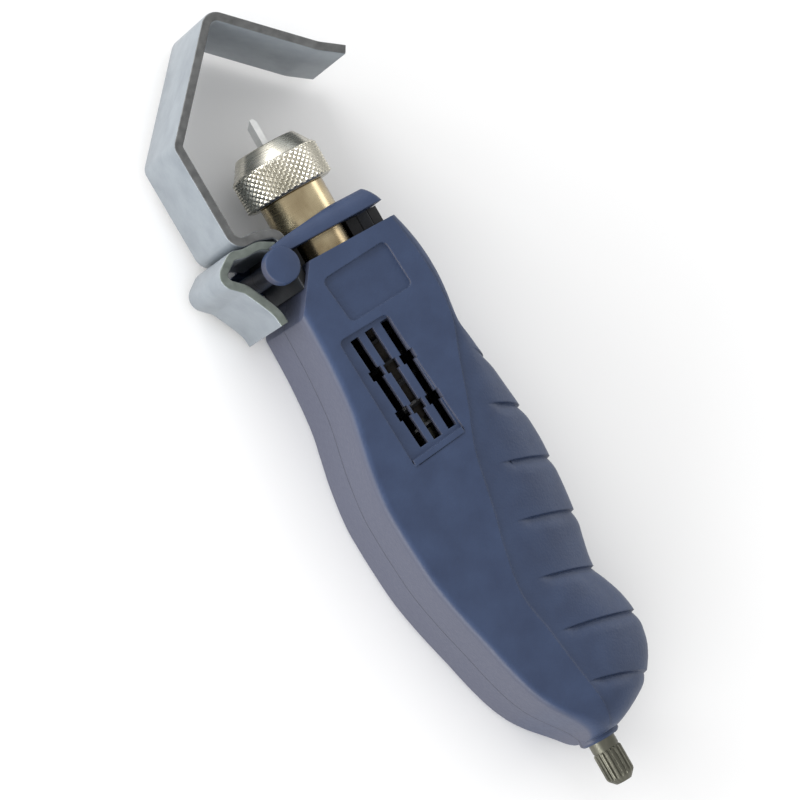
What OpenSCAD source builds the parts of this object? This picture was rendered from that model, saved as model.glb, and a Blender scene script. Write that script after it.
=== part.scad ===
// Round cable stripper: a moulded two-half handle, a spring-closed steel hook that the thumb slides
// open, and a small blade in a knurled cap that turns a quarter turn to ring a cable or slit it.
// The tool lies on its back. X is across the handle, Y runs along the blade spindle towards the hook,
// and Z rises from the back face. The origin is on the back face, below the spindle axis.

/* [Handle] */
// Radius of the long edges on the thumb side
edge_r = 1.8; // [1:0.1:2.2]
// Fall of the grip for each millimetre right of the crease
grip_fall = 0.09; // [0.04:0.01:0.12]
// Thickness of the front and back skins over the hollows
skin_t = 1.4; // [1.2:0.05:1.45]
// Depth of the finger grooves
groove_depth = 0.7; // [0.3:0.05:0.9]
// Width of the finger grooves
groove_w = 1.5; // [1:0.1:1.8]
// Pitch of the finger grooves along the handle
groove_pitch = 9.25; // [9:0.05:9.4]
// Depth of the bare label recess
label_depth = 0.4; // [0.2:0.05:0.6]
// Depth of the grille panel
grille_depth = 0.5; // [0.3:0.05:0.7]
// Width of the grille slots
grille_slot_w = 1.3; // [0.9:0.1:1.5]

/* [Nose bar] */
// Width of the gap between handle and nose bar
gap_w = 3; // [2.6:0.1:3.2]
// Radius of the nose bar's front and back top edges
nose_r = 3.2; // [2:0.1:3.2]
// Radius of the round boss beside the hook
boss_r = 2.95; // [2.6:0.05:3.1]
// How far the boss stands proud of the front face
boss_proud = 0.5; // [0.2:0.1:0.8]

/* [Hook and thumb lug] */
// Width of both steel strips
strip_w = 15.9; // [15.2:0.1:15.95]
// Clearance between the strips and the handle on each side
strip_gap = 0.15; // [0.1:0.01:0.25]
// Thickness of both steel strips
strip_t = 1.5; // [1.3:0.05:1.55]
// Height of the hook's apex above the nose bar
hook_rise = 34; // [31:0.5:38]

/* [Spindle and cap] */
// Diameter of the blade spindle
spindle_d = 11; // [10.8:0.1:11.1]
// Outer diameter of the knurled cap
cap_d = 15; // [14:0.1:17]
// Length of the cap's knurled band
knurl_l = 5.8; // [5.6:0.1:6.4]
// Height of the cap's cone
cone_h = 2.8; // [2:0.1:3.4]
// Diameter of the cap's top face
cap_top_d = 10.2; // [9:0.1:12]
// Number of knurl diamonds round the cap
knurl_count = 40; // [30:2:44]
// Number of knurl diamonds along the cap
knurl_rows = 6; // [4:1:7]
// Depth of the knurl
knurl_depth = 0.35; // [0.2:0.05:0.45]

/* [Blade] */
// Diameter of the blade carrier
carrier_d = 5.9; // [5.6:0.1:6]
// How far the blade stands out of the cap
blade_out = 4.6; // [3.6:0.1:5]
// Height of the blade across its edge
blade_w = 4.6; // [3.6:0.1:4.8]
// Thickness of the blade
blade_t = 1; // [0.6:0.1:1.1]

/* [Depth screw] */
// Diameter of the rod
rod_d = 3.9; // [3.6:0.1:4]
// Diameter of the splined thumb end
thumb_d = 4.8; // [4.7:0.1:5.4]
// Length of the splines
spline_l = 4.5; // [3.5:0.1:6]
// Length of the plain neck outside the handle
neck_l = 1.8; // [1.5:0.1:3]
// Number of splines
spline_count = 18; // [12:1:22]

/* [Springs and fasteners] */
// Wire diameter of the hook spring
spring_wire = 1.1; // [0.9:0.05:1.2]
// Turns of the hook spring
spring_turns = 8; // [6:1:10]
// Head diameter of the shell screws
screw_head_d = 4.6; // [4:0.1:4.8]
// Shank diameter of the shell screws
screw_d = 2.4; // [2:0.1:2.6]

/* [Hidden] */
// The handle holds the strip between its two skins
handle_t = strip_w + 2 * (strip_gap + skin_t);
mid_z = handle_t / 2;
half_t = handle_t / 2;
run_gap = 0.05;

// The handle's two ends, the gap and the nose bar, along y
head_y = 40.8;
rear_y = -46;
nose_y = head_y + gap_w;
nose_top_y = 47.05;
left_start_y = 33.6;

// Left outline of the handle as [y, x], from the head back to the screw
LEFT = [[40.8, -12.5], [27, -12.7], [21, -13.1], [17, -13.6], [13, -14.5], [8.5, -15.5], [2, -16.4],
    [-3, -16.4], [-7, -16.2], [-12, -15.8], [-16, -15.1], [-20, -14.2], [-25, -12.9], [-29.5, -11.8],
    [-34, -10.4], [-37.4, -8.8], [-40, -7], [-42, -5.4], [-44, -4], [-46, -3.1]];
// Right outline as [y, x]
RIGHT = [[47.2, 8.7], [44, 10.6], [41.6, 11], [38.2, 12], [34.4, 12.6], [30.1, 12.6], [26.3, 12.2],
    [22.8, 11.6], [19.5, 11.4], [16.8, 12.5], [12, 14], [8, 14.8], [5, 15.3], [-0.5, 15.9],
    [-4.4, 15.8], [-10, 15.4], [-15.6, 14.6], [-18.3, 13.9], [-22.2, 13.1], [-24.4, 13.3], [-28, 14.7],
    [-31, 15.4], [-33.8, 15.5], [-35.7, 15.2], [-37.7, 14.6], [-39.6, 13.5], [-41.1, 12.3],
    [-42.6, 10.9], [-43.7, 9], [-44.8, 6.3], [-45.6, 4.2], [-46, 3.3]];
// Crease between the flat face and the grip as [y, x]
CREASE = [[47.2, 7.6], [40, 9.8], [30, 10.6], [22.6, 9.6], [17.7, 7.7], [14.1, 6.3], [9.3, 4.5],
    [2.8, 1.7], [-3.2, 0.2], [-8.3, -1], [-13.4, -2.4], [-20.9, -3.6], [-27, -2.6], [-34, -1.6],
    [-40, -0.6], [-46, -0.2]];

// A smooth curve through a list of [y, x] points that run down in y
function hermite(a, b, ma, mb, t) =
    a * (2 * t * t * t - 3 * t * t + 1) + ma * (t * t * t - 2 * t * t + t)
    + b * (3 * t * t - 2 * t * t * t) + mb * (t * t * t - t * t);
function slope_at(p, i) =
    i == 0 ? (p[1][1] - p[0][1]) / (p[1][0] - p[0][0])
    : i == len(p) - 1 ? (p[i][1] - p[i - 1][1]) / (p[i][0] - p[i - 1][0])
    : (p[i + 1][1] - p[i - 1][1]) / (p[i + 1][0] - p[i - 1][0]);
function curve(p, y, i = 0) =
    i >= len(p) - 2 || y > p[i + 1][0]
        ? let (d = p[i + 1][0] - p[i][0], t = (y - p[i][0]) / d)
            hermite(p[i][1], p[i + 1][1], slope_at(p, i) * d, slope_at(p, i + 1) * d, t)
        : curve(p, y, i + 1);
function left_x(y) = curve(LEFT, y);
function right_x(y) = curve(RIGHT, y);
function crease_x(y) = curve(CREASE, y);
function ramp(a, b, v) = let (t = min(1, max(0, (v - a) / (b - a)))) t * t * (3 - 2 * t);

// Half the height of the handle along y: its screw end is rounded over
rear_round_l = 6.5;
rear_half = 3.9;
function half_height(y) =
    let (u = min(1, max(0, (rear_y + rear_round_l - y) / rear_round_l)))
    rear_half + (half_t - rear_half) * sqrt(max(0, 1 - pow(u, 2.2)));

// Each section leans back towards the grip, so that the finger grooves run obliquely
lean = 4;
function lean_at(y) = lean * ramp(30, 19, y) * ramp(rear_y, -38, y);
groove_y = 17.9;
GROOVE_X = [10, 7.6, 4.6, 2, 0.4, -0.7, -1];

// The grip side of a section is a superellipse, by angle a from the crease to the outline
grip_px = 2 / 3;
grip_pz = 2 / 2.2;
function grip_point(y, a) =
    let (f = pow(sin(a), grip_px), ya = y - lean_at(y) * pow(f, 1.3), c = crease_x(y),
        r = right_x(y - lean_at(y)), x = c + (r - c) * f)
    [x, ya, (half_height(ya) - grip_fall * (x - c)) * pow(max(0, cos(a)), grip_pz)];
function groove_point(y, a, x0) =
    let (p = grip_point(y, a), q = grip_point(y, min(90, a + 1)), o = grip_point(y, a - 1),
        d = [q[0] - o[0], q[2] - o[2]], n = a > 89 ? [1, 0] : [-d[1], d[0]] / norm(d),
        deep = groove_depth * ramp(0, 3, p[0] - x0))
    [p[0] - n[0] * deep, p[1], max(0, p[2] - n[1] * deep)];

GRIP_ANGLES = [4, 9, 16, 25, 36, 48, 60, 72, 82, 90];
function half_ring(y, groove = -1) =
    let (l = left_x(y), h = half_height(y), r = min(edge_r + 0.8 * ramp(-38, -45, y), h - 0.8))
    concat([[l, y, 0], [l, y, h - r]],
        [for (a = [22.5, 45, 67.5]) [l + r - r * cos(a), y, h - r + r * sin(a)]],
        [[l + r, y, h], [crease_x(y), y, h]],
        [for (a = GRIP_ANGLES) groove < 0 ? grip_point(y, a) : groove_point(y, a, GROOVE_X[groove])]);

// A closed solid through rings of equal length
module loft(rings) {
    n = len(rings[0]);
    m = len(rings);
    pts = [for (r = rings) for (p = r) p];
    sides = [for (j = [0:m - 2]) for (i = [0:n - 1])
        let (k = (i + 1) % n, a = j * n + i, b = j * n + k, c = (j + 1) * n + k, d = (j + 1) * n + i)
        each [[a, b, c], [a, c, d]]];
    polyhedron(pts, concat([[for (i = [n - 1:-1:0]) i]], sides, [[for (i = [0:n - 1]) (m - 1) * n + i]]));
}

// One half of the handle, with its parting face on z = 0 and its outer face upwards
module half_form() {
    w = groove_w / 2;
    grooves = [for (i = [0:6]) let (y = groove_y - i * groove_pitch)
        each concat([half_ring(y + w), half_ring(y, i), half_ring(y - w)],
            i < 6 ? [half_ring(y - groove_pitch * 0.37), half_ring(y - groove_pitch * 0.63)] : [])];
    loft(concat([for (y = [head_y, 38, 35, 32, 29, 26, 23.4, 21]) half_ring(y)], grooves,
        [for (y = [-39.6, -41, -42.2, -43.3, -44.2, -45, -45.6, rear_y]) half_ring(y)]));
}

// A cylinder along y
module y_rod(d, y0, y1) {
    translate([0, y0, 0]) rotate([-90, 0, 0]) cylinder(d = d, h = y1 - y0, $fn = 96);
}

// A box on the parting face that is as deep in every half
module half_box(x0, x1, y0, y1, h) {
    translate([x0, y0, -1]) cube([x1 - x0, y1 - y0, h + 1]);
}

// The steel leg and the clearance round it
leg_x = -8.55;
channel_x0 = leg_x - strip_t / 2 - strip_gap;
channel_x1 = leg_x + strip_t / 2 + strip_gap;
inner_half = half_t - skin_t;

// Inner walls of the shells, along y
block_y = 27;
seat_y = 29;
tab_rib_y = -7;
rod_rib_y = -9;
thrust_y = -33;
thrust_back_y = -35.2;
collar_l = 1.5;
chamber_y = thrust_back_y - collar_l - 1.3;
bush_d = 6.6;
bush_l = 5.5;
bush_end_y = chamber_y - bush_l;
rib_bore_d = 5;
exit_d = 5;
lip_d = 6.8;
lip_y = -46.9;
spindle_bore_d = spindle_d + 2 * run_gap;

// The spindle's detent
detent_y = 32;
ball_d = 3.2;
detent_x = spindle_d / 2 + 0.85;
detent_bore_d = ball_d + 0.1;
detent_end_x = 11.8;

// The nose bar's tenon
tenon_x0 = 6.8;
tenon_x1 = 8.8;
tenon_half = 2.5;
tenon_head_half = 4;
tenon_head_y = head_y - 3.2;
tenon_y = tenon_head_y - 1.8;

// Screws that hold the two shells together
SCREWS = [[8.7, 28.8], [-12.4, 1], [6.5, -17], [-8.2, -27]];
screw_floor_z = 3;
pilot_l = 4.3;
cross_l = 2.6;
cross_w = 0.6;

module half_hollows() {
    half_box(channel_x0, channel_x1, block_y - 1, head_y + 1, inner_half);
    half_box(-9.7, 6.6, tab_rib_y, block_y, inner_half);
    half_box(-4.5, 4.5, thrust_y, rod_rib_y, 5);
    y_rod(spindle_bore_d, seat_y, head_y + 1);
    y_rod(carrier_d + 0.6, block_y - 1, seat_y + 1);
    y_rod(rib_bore_d, thrust_back_y - 1, block_y);
    y_rod(8.4, chamber_y, thrust_back_y);
    y_rod(bush_d + 0.02, bush_end_y, chamber_y + 1);
    y_rod(exit_d, lip_y - 1, bush_end_y + 1);
    translate([0, detent_y, 0]) rotate([0, 90, 0]) cylinder(d = detent_bore_d, h = detent_end_x, $fn = 48);
    half_box(tenon_x0 - 0.1, tenon_x1 + 0.1, tenon_y, head_y + 1, tenon_half + 0.1);
    half_box(tenon_x0 - 0.1, tenon_x1 + 0.1, tenon_y - 0.1, tenon_head_y + 0.1, tenon_head_half + 0.1);
    translate([0, 0, -1]) linear_extrude(20)
        polygon([[-6.9, head_y + 0.5], [-6.9, head_y], [-12.4, left_start_y], [-12.9, 32.9], [-20, 32.9],
            [-20, head_y + 0.5]]);
}

module half_body() {
    difference() {
        union() {
            half_form();
            intersection() {
                y_rod(lip_d, lip_y, -43);
                translate([-10, -60, 0]) cube([20, 30, 20]);
            }
        }
        half_hollows();
    }
}

// A convex outline with rounded corners, as points
function unit(v) = v / norm(v);
function corner_arc(p, i, r) =
    let (n = len(p), b = p[i], d1 = unit(b - p[(i + n - 1) % n]), d2 = unit(p[(i + 1) % n] - b),
        th = atan2(d1[0] * d2[1] - d1[1] * d2[0], d1 * d2), s = sign(th), m = [-d1[1], d1[0]],
        o = b - d1 * r * tan(abs(th) / 2) + m * r * s)
    [for (k = [0:4]) let (g = th * k / 4) o - r * s * [m[0] * cos(g) - m[1] * sin(g), m[0] * sin(g) + m[1] * cos(g)]];
function rounded(p, r) = [for (i = [0:len(p) - 1]) each corner_arc(p, i, r)];

LABEL = [[-6.7, 37.2], [5.9, 38], [6.4, 29.8], [-5.8, 29.2]];
GRILLE = [[-9.4, 27.6], [0, 27.9], [1.9, 5.8], [-8.6, 4.8]];
GRILLE_SLOTS = [[-6.7, 26.8, -5.2, 7.2], [-3.8, 27, -2.5, 7.2], [-0.7, 27.2, 0.5, 7.5]];
NOTCH_Y = [20.4, 13];
notch_w = 2.1;
notch_h = 1.2;

module label_recess() {
    translate([0, 0, half_t - label_depth]) linear_extrude(2) polygon(rounded(LABEL, 1));
}

module grille() {
    translate([0, 0, half_t - grille_depth]) linear_extrude(2) polygon(rounded(GRILLE, 0.9));
    for (p = GRILLE_SLOTS) {
        l = norm([p[2] - p[0], p[3] - p[1]]);
        a = atan2(p[1] - p[3], p[0] - p[2]) - 90;
        translate([p[2], p[3], inner_half - 1]) rotate(a) translate([-grille_slot_w / 2, 0, 0])
            cube([grille_slot_w, l, 4]);
        for (y = NOTCH_Y) {
            f = (p[1] - y) / (p[1] - p[3]);
            translate([p[0] + (p[2] - p[0]) * f, y, inner_half - 1]) rotate(a)
                translate([-notch_w / 2, -notch_h / 2, 0]) cube([notch_w, notch_h, 4]);
        }
    }
}

// A low rib across the lower end of the grille panel
module grille_rim() {
    translate([0, 0, half_t - grille_depth - 0.2]) linear_extrude(grille_depth + 0.5)
        polygon([[-8.3, 5.1], [1.3, 6], [1.25, 6.6], [-8.3, 5.7]]);
}

module front_shell() {
    color("#4b5570") translate([0, 0, mid_z]) union() {
        difference() {
            half_body();
            label_recess();
            grille();
            for (p = SCREWS) translate([p[0], p[1], -1]) cylinder(d = screw_d + 0.02, h = 1 + pilot_l, $fn = 32);
        }
        grille_rim();
    }
}

module back_shell() {
    color("#465069") translate([0, 0, mid_z]) mirror([0, 0, 1]) difference() {
        half_body();
        for (p = SCREWS) translate([p[0], p[1], -1]) {
            cylinder(d = screw_d + 0.1, h = 20, $fn = 32);
            translate([0, 0, 1 + half_t - screw_floor_z]) cylinder(d = screw_head_d + 0.3, h = 20, $fn = 48);
        }
    }
}

// The nose bar: same outline as the handle, with two ears that carry a post and the bosses
boss_x = -11.3;
boss_y = 42.2;
post_d = 3.4;
// A length that reaches past the nose bar, for its cuts
reach = 30;
function nose_half(y) =
    half_t - nose_r + sqrt(max(0, nose_r * nose_r - pow(max(0, y - nose_top_y + nose_r), 2)));
function nose_ring(y) =
    let (h = nose_half(y), c = crease_x(y), r = right_x(y), half = concat([[boss_x, h]],
        [for (a = concat([0], GRIP_ANGLES)) let (x = c + (r - c) * pow(sin(a), grip_px))
            [x, (h - grip_fall * (x - c)) * pow(max(0, cos(a)), grip_pz)]]), n = len(half))
    concat([for (p = half) [p[0], y, p[1]]], [for (i = [n - 2:-1:0]) [half[i][0], y, -half[i][1]]]);

module nose_bar() {
    color("#4b5570") translate([0, 0, mid_z]) union() {
        difference() {
            loft([for (y = [nose_top_y, nose_top_y - nose_r * 0.03, nose_top_y - nose_r * 0.13,
                nose_top_y - nose_r * 0.32, nose_top_y - nose_r * 0.58, nose_top_y - nose_r * 0.85, nose_y])
                nose_ring(y)]);
            translate([channel_x1 - reach, nose_y - 1, -inner_half]) cube([reach, reach, 2 * inner_half]);
            y_rod(spindle_bore_d, nose_y - 1, nose_y + reach);
            translate([0, 0, -12]) linear_extrude(24)
                polygon([[-14, 45.1], [-8.5, 46], [1.6, 47], [9.6, 46.85], [14, 46.8], [14, 52], [-14, 52]]);
        }
        translate([tenon_x0, tenon_head_y, -tenon_half])
            cube([tenon_x1 - tenon_x0, nose_y + 0.5 - tenon_head_y, 2 * tenon_half]);
        translate([tenon_x0, tenon_y, -tenon_head_half])
            cube([tenon_x1 - tenon_x0, tenon_head_y - tenon_y, 2 * tenon_head_half]);
        translate([boss_x, boss_y, -half_t]) {
            cylinder(d = post_d, h = handle_t, $fn = 48);
            cylinder(r = boss_r, h = skin_t, $fn = 72);
            translate([0, 0, handle_t - skin_t]) cylinder(r = boss_r, h = skin_t + boss_proud, $fn = 72);
        }
    }
}

// The fork drops round the spindle's groove and stops it from moving along
fork_groove_d = 9.4;
fork_x0 = -7.4;
fork_t = gap_w - 0.1;
module retaining_fork() {
    h = half_t - 0.35;
    c = crease_x((head_y + nose_y) / 2);
    r = right_x((head_y + nose_y) / 2) - 0.35;
    side = [for (a = concat([0], GRIP_ANGLES)) let (x = c + (r - c) * pow(sin(a), grip_px))
        [x, -(h - grip_fall * (x - c)) * pow(max(0, cos(a)), grip_pz)]];
    color("#17181a") translate([0, head_y + 0.05 + fork_t, mid_z]) rotate([90, 0, 0]) difference() {
        linear_extrude(fork_t) polygon(concat([[fork_x0, -h]], side, [[r, 2.5], [fork_x0, 2.5]]));
        translate([0, 0, -1]) cylinder(d = fork_groove_d + 0.1, h = fork_t + 2, $fn = 72);
        translate([-fork_groove_d / 2 - 0.05, 0, -1]) cube([fork_groove_d + 0.1, 10, fork_t + 2]);
        translate([tenon_x0 - 0.1, -tenon_half - 0.1, -1])
            cube([tenon_x1 - tenon_x0 + 0.2, 2 * tenon_half + 0.2, fork_t + 2]);
    }
}

// A bent strip: corners of its centre line as [x, y, bend radius]
function bend(p, i) =
    let (b = [p[i][0], p[i][1]], d1 = unit(b - [p[i - 1][0], p[i - 1][1]]),
        d2 = unit([p[i + 1][0], p[i + 1][1]] - b), th = atan2(d1[0] * d2[1] - d1[1] * d2[0], d1 * d2),
        r = p[i][2], s = sign(th), m = [-d1[1], d1[0]], o = b - d1 * r * tan(abs(th) / 2) + m * r * s,
        n = max(2, ceil(abs(th) / 11)))
    [for (k = [0:n]) let (g = th * k / n, q = [m[0] * cos(g) - m[1] * sin(g), m[0] * sin(g) + m[1] * cos(g)])
        [o - q * r * s, q]];
function end_of(a, b, at) = let (d = unit([b[0] - a[0], b[1] - a[1]])) [[at[0], at[1]], [-d[1], d[0]]];
function bent_line(p) = let (n = len(p))
    concat([end_of(p[0], p[1], p[0])], [for (i = [1:n - 2]) each bend(p, i)],
        [end_of(p[n - 2], p[n - 1], p[n - 1])]);
module strip(corners, w) {
    line = bent_line(corners);
    n = len(line);
    translate([0, 0, mid_z - w / 2]) linear_extrude(w)
        polygon(concat([for (q = line) q[0] + q[1] * strip_t / 2],
            [for (i = [n - 1:-1:0]) line[i][0] - line[i][1] * strip_t / 2]));
}

// The hook's first layer lies flat over the lug, then its leg goes down into the handle
layer_y = 48.2;
apex_y = layer_y + hook_rise;
tab_y = tab_rib_y + 0.05 + strip_t / 2;
HOOK = [[17, apex_y - 14.9, 0], [13.2, apex_y - 12.4, 6], [-0.4, apex_y, 1.9], [-15.95, apex_y - 16.2, 1.5],
    [-15.7, layer_y, 2.1], [-12.2, layer_y, 4], [leg_x, layer_y - 1.11, 1.6], [leg_x, tab_y, 1.6],
    [6, tab_y, 0]];
LUG = [[-10.1, layer_y - strip_t - 1.3, 0], [-12.4, layer_y - strip_t, 3], [-15.2, layer_y - strip_t, 3],
    [-17.2, layer_y - strip_t + 0.6, 1.6], [-21.05, 44.65, 1.6], [-17.9, 41.75, 3], [-16.4, 38.8, 6],
    [-15.2, 36.1, 6], [-15.05, 34.1, 0]];

module hook() {
    color("#b9bdbd") difference() {
        strip(HOOK, strip_w);
        translate([0, tab_y, mid_z]) rotate([90, 0, 0]) cylinder(d = 6.6, h = 6, center = true, $fn = 64);
        translate([0, tab_y - 3, mid_z - 3.3]) cube([8, 6, 6.6]);
    }
}

module thumb_lug() {
    color("#c0c3c2") strip(LUG, strip_w);
}

// A coil of round wire as a swept solid, rising along z
module coil(mean_r, wire, turns, length, sides, steps) {
    n = turns * steps;
    loft([for (k = [0:n]) let (a = 360 * k / steps, z = wire / 2 + (length - wire) * k / n)
        [for (s = [0:sides - 1]) let (g = -360 * s / sides, r = mean_r + wire / 2 * cos(g))
            [r * cos(a), r * sin(a), z + wire / 2 * sin(g)]]]);
}

spring_end_y = tab_y + strip_t / 2 + 0.03;
module hook_spring() {
    color("#c9ccd0") translate([0, spring_end_y, mid_z]) rotate([-90, 0, 0])
        coil(5, spring_wire, spring_turns, block_y - 0.02 - spring_end_y, 6, 14);
}

// The spindle turns in the handle and carries the cap on its neck
spindle_end_y = seat_y + 0.1;
cap_y = 51.75;
neck_d = 9;
neck_y = cap_y + 5.5;
pin_y = 35;
pin_d = 1.5;
module spindle() {
    color("#8f8446") translate([0, 0, mid_z]) difference() {
        union() {
            y_rod(spindle_d, spindle_end_y, cap_y);
            y_rod(neck_d, cap_y - 1, neck_y);
        }
        y_rod(carrier_d + 2 * run_gap, spindle_end_y - 1, neck_y + 1);
        difference() {
            y_rod(spindle_d + 2, head_y, nose_y);
            y_rod(fork_groove_d, head_y - 1, nose_y + 1);
        }
        translate([0, detent_y, 0]) rotate([-90, 0, 0]) rotate_extrude($fn = 96)
            translate([detent_x - 0.05, 0]) circle(r = ball_d / 2 + 0.1, $fn = 48);
        translate([0, pin_y, 2]) cylinder(d = pin_d + 0.02, h = 6, $fn = 32);
    }
}

module guide_pin() {
    color("#b9bcc0") translate([0, pin_y, mid_z + carrier_d / 2 - 0.75]) cylinder(d = pin_d, h = 3.1, $fn = 32);
}

module detent_ball() {
    color("#d5d8dc") translate([detent_x, detent_y, mid_z]) sphere(d = ball_d, $fn = 48);
}

module detent_spring() {
    x0 = detent_x + ball_d / 2 + 0.02;
    color("#c9ccd0") translate([x0, detent_y, mid_z]) rotate([0, 90, 0])
        coil(1.2, 0.4, 4, detent_end_x - 0.05 - x0, 5, 12);
}

// The knurled band is a grid of raised points between crossing valleys
module knurl_band(d, l) {
    n = knurl_count * 2;
    m = knurl_rows * 2;
    pts = [for (j = [0:m]) for (i = [0:n - 1])
        let (deep = j == 0 || j == m || (i + j) % 2 == 1, r = d / 2 - (deep ? knurl_depth : 0))
        [r * cos(360 * i / n), r * sin(360 * i / n), l * j / m]];
    sides = [for (j = [0:m - 1]) for (i = [0:n - 1])
        let (k = (i + 1) % n, a = j * n + i, b = j * n + k, c = (j + 1) * n + k, e = (j + 1) * n + i)
        each (i + j) % 2 == 1 ? [[a, c, b], [a, e, c]] : [[a, e, b], [b, e, c]]];
    polyhedron(pts, concat([[for (i = [0:n - 1]) i]], sides, [[for (i = [n - 1:-1:0]) m * n + i]]));
}

cap_top_y = cap_y + knurl_l + cone_h;
chamber_top_y = cap_top_y - 2.1;
slit_w = blade_t + 0.2;
module knurled_cap() {
    rim_r = cap_d / 2 - knurl_depth;
    color("#c3c0b0") translate([0, 0, mid_z]) difference() {
        union() {
            translate([0, cap_y, 0]) rotate([-90, 0, 0]) knurl_band(cap_d, knurl_l);
            translate([0, cap_y + knurl_l - 0.3, 0]) rotate([-90, 0, 0]) rotate_extrude($fn = 96)
                polygon([[0, 0], [rim_r - 0.3, 0], [rim_r - 0.05, 0.3], [cap_top_d / 2 + 0.15, cone_h + 0.15],
                    [cap_top_d / 2 - 0.1, cone_h + 0.3], [0, cone_h + 0.3]]);
        }
        y_rod(neck_d + 0.02, cap_y - 1, neck_y + 0.1);
        y_rod(carrier_d + 0.3, cap_y, chamber_top_y);
        translate([-slit_w / 2, cap_y, -blade_w / 2 - 0.3]) cube([slit_w, 20, blade_w + 0.6]);
    }
}

// The blade, the carrier that slides in the spindle, and the screw that clamps them
blade_root_y = 50;
blade_tip_y = cap_top_y + blade_out;
carrier_y = 11;
carrier_top_y = 57;
grub_y = 53.5;
module blade() {
    color("#dfe3e6") translate([-blade_t / 2, 0, mid_z]) rotate([90, 0, 90]) linear_extrude(blade_t)
        polygon([[blade_root_y, -blade_w / 2], [blade_tip_y - 1.6, -blade_w / 2],
            [blade_tip_y - 0.3, blade_w / 2 - 0.8], [blade_tip_y, blade_w / 2], [blade_root_y, blade_w / 2]]);
}

module blade_carrier() {
    color("#8f8a7c") translate([0, 0, mid_z]) difference() {
        y_rod(carrier_d, carrier_y, carrier_top_y);
        y_rod(rod_d + 2 * run_gap, carrier_y - 1, 32);
        translate([-blade_t / 2 - 0.01, blade_root_y - 0.01, -blade_w / 2 - 0.01])
            cube([blade_t + 0.02, 20, blade_w + 0.02]);
        translate([0, grub_y, 0]) rotate([0, 90, 0]) cylinder(d = 2.02, h = 6, $fn = 32);
        translate([-0.8, pin_y - 1.7, carrier_d / 2 - 0.85]) cube([1.6, 7, 3]);
    }
}

module blade_grub_screw() {
    color("#5c5f63") translate([blade_t / 2 + 0.02, grub_y, mid_z]) rotate([0, 90, 0]) difference() {
        cylinder(d = 2, h = carrier_d / 2 - 0.2 - blade_t / 2, $fn = 32);
        translate([0, 0, 1.2]) cylinder(d = 1, h = 4, $fn = 6);
    }
}

// The depth screw, in one piece with its collar and its splined thumb end
rod_end_y = 27;
journal_d = 4.5;
collar_y = thrust_back_y - 0.05;
spline_y = lip_y - neck_l;
ring_y = thrust_y + 0.9;
module depth_screw() {
    r = thumb_d / 2;
    color("#55564c") translate([0, 0, mid_z]) difference() {
        union() {
            y_rod(rod_d, collar_y - 1, rod_end_y);
            y_rod(7, collar_y - collar_l, collar_y);
            y_rod(journal_d, spline_y - 1, collar_y - 1);
            translate([0, spline_y, 0]) rotate([90, 0, 0]) linear_extrude(spline_l + 0.2)
                polygon([for (k = [0:4 * spline_count - 1])
                    let (q = r - (k % 4 < 2 ? 0 : 0.28), a = 90 * (k - 0.2 * (k % 2)) / spline_count)
                    [q * cos(a), q * sin(a)]]);
            translate([0, spline_y - spline_l, 0]) rotate([90, 0, 0])
                cylinder(r1 = r - 0.2, r2 = r - 1, h = 1.2, $fn = 72);
        }
        difference() {
            y_rod(rod_d + 2, ring_y, ring_y + 0.8);
            y_rod(rod_d - 0.8, ring_y - 1, ring_y + 2);
        }
    }
}

module retaining_ring() {
    color("#5c5f63") translate([0, ring_y + 0.75, mid_z]) rotate([90, 0, 0]) difference() {
        cylinder(d = 7, h = 0.7, $fn = 72);
        translate([0, 0, -1]) cylinder(d = rod_d - 0.78, h = 3, $fn = 72);
        translate([0, -(rod_d - 0.8) * 0.35, -1]) cube([5, (rod_d - 0.8) * 0.7, 3]);
    }
}

module thrust_washer() {
    color("#b9bcc0") translate([0, 0, mid_z]) difference() {
        y_rod(8, thrust_y + 0.03, thrust_y + 0.83);
        y_rod(rod_d + 0.2, thrust_y - 1, thrust_y + 2);
    }
}

module rear_bushing() {
    color("#b08d4a") translate([0, 0, mid_z]) difference() {
        y_rod(bush_d, bush_end_y, chamber_y);
        y_rod(journal_d + 2 * run_gap, bush_end_y - 1, chamber_y + 1);
    }
}

// Self-tapping screws that go in from the back
module shell_screw(i) {
    color("#8d9194") translate([SCREWS[i][0], SCREWS[i][1], 0]) difference() {
        union() {
            translate([0, 0, screw_floor_z - 1]) cylinder(d = screw_d, h = mid_z + pilot_l + 0.5 - screw_floor_z, $fn = 32);
            translate([0, 0, screw_floor_z - 1.75])
                cylinder(d1 = screw_head_d - 0.8, d2 = screw_head_d, h = 1.7, $fn = 48);
        }
        for (a = [0, 90]) rotate(a) translate([-cross_l / 2, -cross_w / 2, 0])
            cube([cross_l, cross_w, screw_floor_z - 0.95]);
    }
}

front_shell();
back_shell();
nose_bar();
retaining_fork();
hook();
thumb_lug();
hook_spring();
spindle();
guide_pin();
knurled_cap();
detent_ball();
detent_spring();
blade();
blade_carrier();
blade_grub_screw();
depth_screw();
retaining_ring();
thrust_washer();
rear_bushing();
shell_screw(0);  // shell_screw_1
shell_screw(1);  // shell_screw_2
shell_screw(2);  // shell_screw_3
shell_screw(3);  // shell_screw_4
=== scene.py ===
"""Studio picture of a round cable stripper that lies on its back on a pale floor.

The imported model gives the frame. The visible pieces are rebuilt here with finer curves, each on its
own body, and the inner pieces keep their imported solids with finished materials. Most sizes are the
part's own. The ones under "Sizes that follow the photograph" differ a little from the part's.
Lengths in this file are millimetres unless a name says otherwise, and MM turns them into metres.
"""
import math

import bmesh
import bpy
from mathutils import Matrix, Vector


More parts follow.
